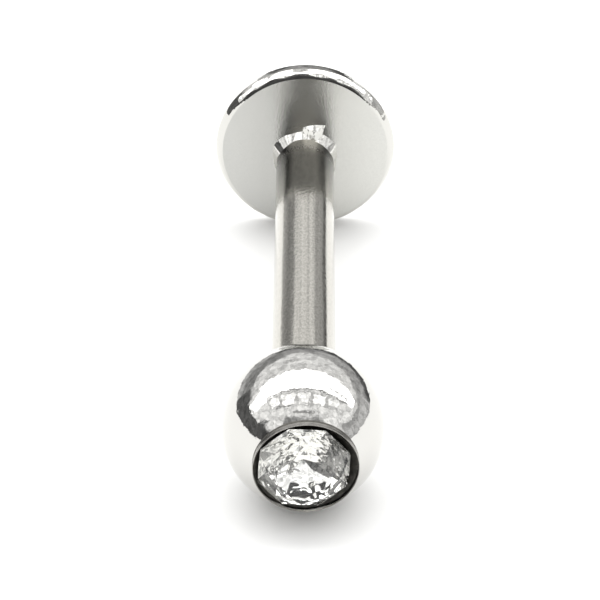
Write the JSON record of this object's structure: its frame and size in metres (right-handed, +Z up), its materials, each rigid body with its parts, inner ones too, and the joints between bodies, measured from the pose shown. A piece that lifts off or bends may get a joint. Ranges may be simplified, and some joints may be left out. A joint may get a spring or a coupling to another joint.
{
  "type": "labret stud",
  "caption": "Labret stud: a flat round disc back on a straight shank, with a screw-on polished ball that holds a round brilliant stone in a low collar.",
  "frame": {"origin": "on the surface that the stud lies on, under the middle of its bounding box", "axes": "+Y along the stud, from the stone to the disc back; +Z up; the stud's own axis rises by 0.88 degrees towards the disc"},
  "size_m": [0.005, 0.0156, 0.005],
  "materials": {
    "post_steel": "turned and tumble-polished surgical steel, satin on the disc's face",
    "ball_steel": "mirror-polished surgical steel",
    "crystal": "clear cut crystal, polished facets"
  },
  "bodies": {
    "post_body": {"post": "post_steel"},
    "ball_body": {"ball": "ball_steel", "gem": "crystal"}
  },
  "joints": [
    {"name": "ball_unscrew", "type": "slide", "parent": "post_body", "child": "ball_body", "axis": [0, -0.9999, -0.0153], "range_m": [0, 0.003]}
  ]
}
